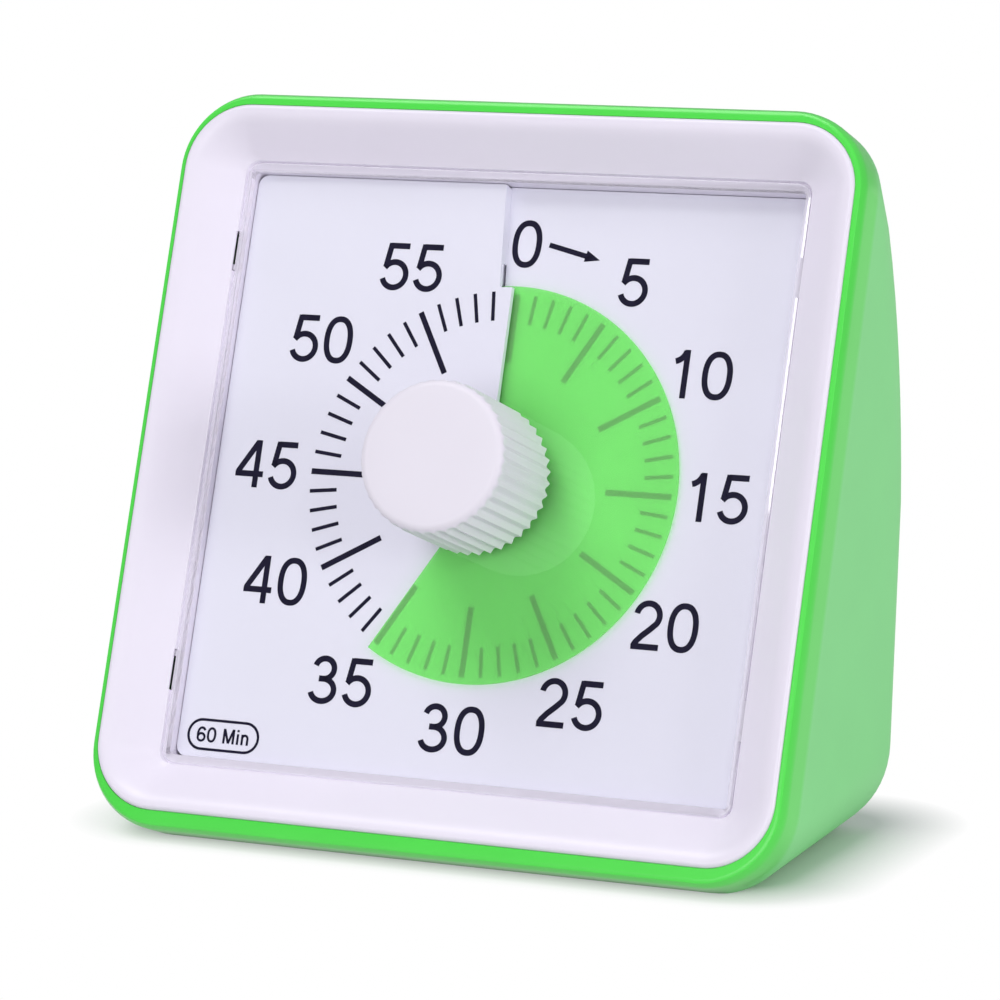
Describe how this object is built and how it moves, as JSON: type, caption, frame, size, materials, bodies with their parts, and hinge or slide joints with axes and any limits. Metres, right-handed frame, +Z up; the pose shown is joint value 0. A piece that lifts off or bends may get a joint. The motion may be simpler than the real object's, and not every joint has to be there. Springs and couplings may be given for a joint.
{
  "type": "visual countdown timer",
  "caption": "Wedge-shaped table timer with a tilted square dial, a winding colour disc behind a clear lens and a ribbed knob.",
  "frame": {"origin": "middle of the footprint, on the table", "axes": "+Z up, the tilted face and its knob towards -Y"},
  "size_m": [0.0772, 0.0406, 0.0754],
  "materials": {
    "pale_plastic": "smooth satin",
    "green_plastic": "satin",
    "clear_plastic": "clear, polished",
    "knob_plastic": "matt",
    "dial_sheet": "smooth, printed",
    "disc_sheet": "translucent sheet",
    "natural_plastic": "moulded",
    "chassis_plastic": "moulded",
    "gear_plastic": "moulded",
    "rotor_magnet": "sintered",
    "core_steel": "stamped",
    "copper_winding": "enamelled wire",
    "spring_brass": "stamped",
    "screw_steel": "plated",
    "tinned_steel": "plated",
    "board_laminate": "laminate",
    "black_plastic": "matt",
    "parts_ceramic": "ceramic",
    "cell_sleeve": "wrapped",
    "red_wire": "insulation",
    "black_wire": "insulation"
  },
  "bodies": {
    "case": {"front_bezel": "pale_plastic", "rear_shell": "green_plastic", "lens": "clear_plastic", "dial_plate": "dial_sheet", "chassis": "chassis_plastic", "chassis_screws": "screw_steel", "movement_front": "natural_plastic", "movement_rear": "natural_plastic", "stator": "core_steel", "coil_bobbin": "natural_plastic", "coil_winding": "copper_winding", "movement_screws": "screw_steel", "zero_contacts": "spring_brass", "circuit_board": "board_laminate", "control_chip": "black_plastic", "quartz_crystal": "screw_steel", "capacitors": "parts_ceramic", "board_screws": "screw_steel", "buzzer_holder": "black_plastic", "buzzer_disc": "spring_brass", "switch_body": "tinned_steel", "switch_terminals": "tinned_steel", "battery_cell": "cell_sleeve", "battery_spring": "tinned_steel", "battery_plate": "tinned_steel", "case_screws": "screw_steel", "battery_wires": "red_wire", "buzzer_wires": "black_wire", "switch_wires": "black_wire", "coil_wires": "copper_winding"},
    "spindle": {"spindle": "natural_plastic", "knob": "knob_plastic", "clutch_spring": "spring_brass"},
    "disc": {"time_disc": "disc_sheet", "disc_hub": "natural_plastic"},
    "drive_wheel": {"drive_wheel": "gear_plastic"},
    "third_wheel": {"third_wheel": "gear_plastic"},
    "second_wheel": {"second_wheel": "gear_plastic"},
    "first_wheel": {"first_wheel": "gear_plastic"},
    "rotor": {"rotor": "rotor_magnet"},
    "battery_door": {"battery_door": "green_plastic"},
    "switch_slider": {"switch_slider": "knob_plastic"}
  },
  "joints": [
    {"name": "spindle_turn", "type": "hinge", "parent": "case", "child": "spindle", "pos_m": [0, -0.00226, 0.0369], "axis": [0, -0.9426, 0.3338], "range_deg": [-148.85, 211.25]},
    {"name": "disc_float", "type": "slide", "parent": "spindle", "child": "disc", "axis": [0, -0.9426, 0.3338], "range_m": [-0.00082, 0.00058]},
    {"name": "drive_wheel_turn", "type": "hinge", "parent": "case", "child": "drive_wheel", "pos_m": [0, 0.00622, 0.0339], "axis": [0, -0.9426, 0.3338], "continuous": true},
    {"name": "third_wheel_turn", "type": "hinge", "parent": "case", "child": "third_wheel", "pos_m": [-0.0067, 0.0081, 0.0392], "axis": [0, -0.9426, 0.3338], "continuous": true},
    {"name": "second_wheel_turn", "type": "hinge", "parent": "case", "child": "second_wheel", "pos_m": [0.00049, 0.00888, 0.0414], "axis": [0, -0.9426, 0.3338], "continuous": true},
    {"name": "first_wheel_turn", "type": "hinge", "parent": "case", "child": "first_wheel", "pos_m": [0.00701, 0.00791, 0.03866], "axis": [0, -0.9426, 0.3338], "continuous": true},
    {"name": "rotor_turn", "type": "hinge", "parent": "case", "child": "rotor", "pos_m": [0.00776, 0.00554, 0.03197], "axis": [0, -0.9426, 0.3338], "continuous": true},
    {"name": "battery_door_hinge", "type": "hinge", "parent": "case", "child": "battery_door", "pos_m": [0, 0.01689, 0.00599], "axis": [-1, 0, 0], "range_deg": [0, 95]},
    {"name": "sound_switch_slide", "type": "slide", "parent": "case", "child": "switch_slider", "axis": [1, 0, 0], "range_m": [0, 0.004]}
  ],
  "couplings": [
    {"joint": "spindle_turn", "follows": "disc_float", "rad_per_m": -4488},
    {"joint": "rotor_turn", "follows": "first_wheel_turn", "ratio": -7.5},
    {"joint": "second_wheel_turn", "follows": "first_wheel_turn", "ratio": -0.13333},
    {"joint": "third_wheel_turn", "follows": "first_wheel_turn", "ratio": 0.016667},
    {"joint": "drive_wheel_turn", "follows": "first_wheel_turn", "ratio": -0.0041667}
  ]
}
